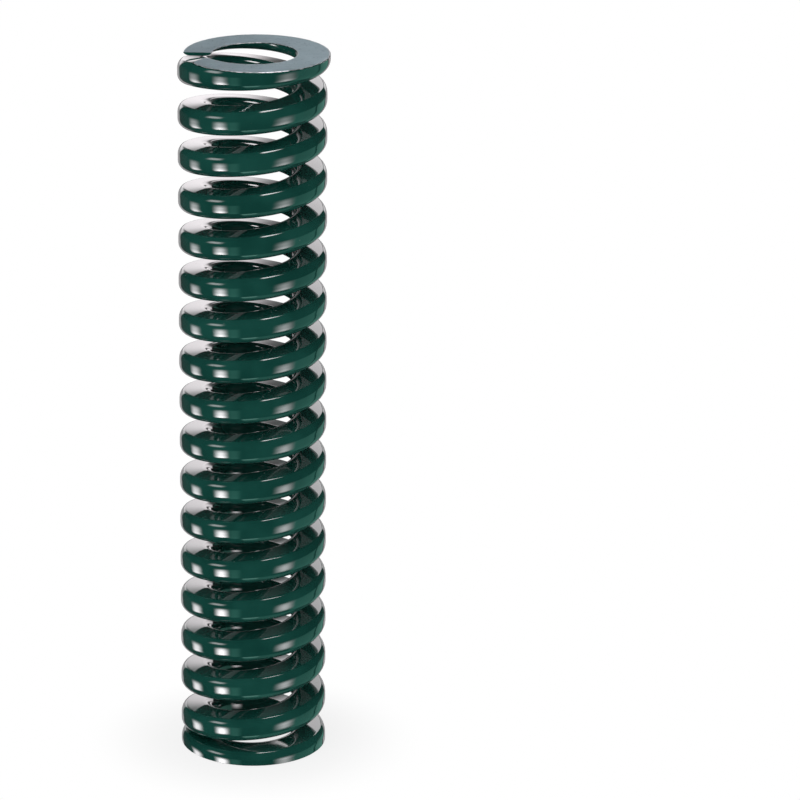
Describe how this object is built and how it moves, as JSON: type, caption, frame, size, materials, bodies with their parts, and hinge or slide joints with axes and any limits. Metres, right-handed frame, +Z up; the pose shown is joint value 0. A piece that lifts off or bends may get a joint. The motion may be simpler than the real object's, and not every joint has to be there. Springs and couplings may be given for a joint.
{
  "type": "die spring",
  "caption": "Heavy compression spring of rectangular wire in right-hand coils, with closed and ground flat ends, painted dark green.",
  "frame": {"origin": "centre of the lower ground face, on the coil axis", "axes": "+Z up along the coil axis, from the lower ground face to the upper one; the upper wire tip lies at -X and the open mouth under it faces -Y"},
  "size_m": [0.0254, 0.0254, 0.125],
  "materials": {
    "spring": "gloss dark green paint over spring steel, ground end faces bare and satin"
  },
  "bodies": {
    "root": {"spring": "spring"}
  },
  "joints": []
}
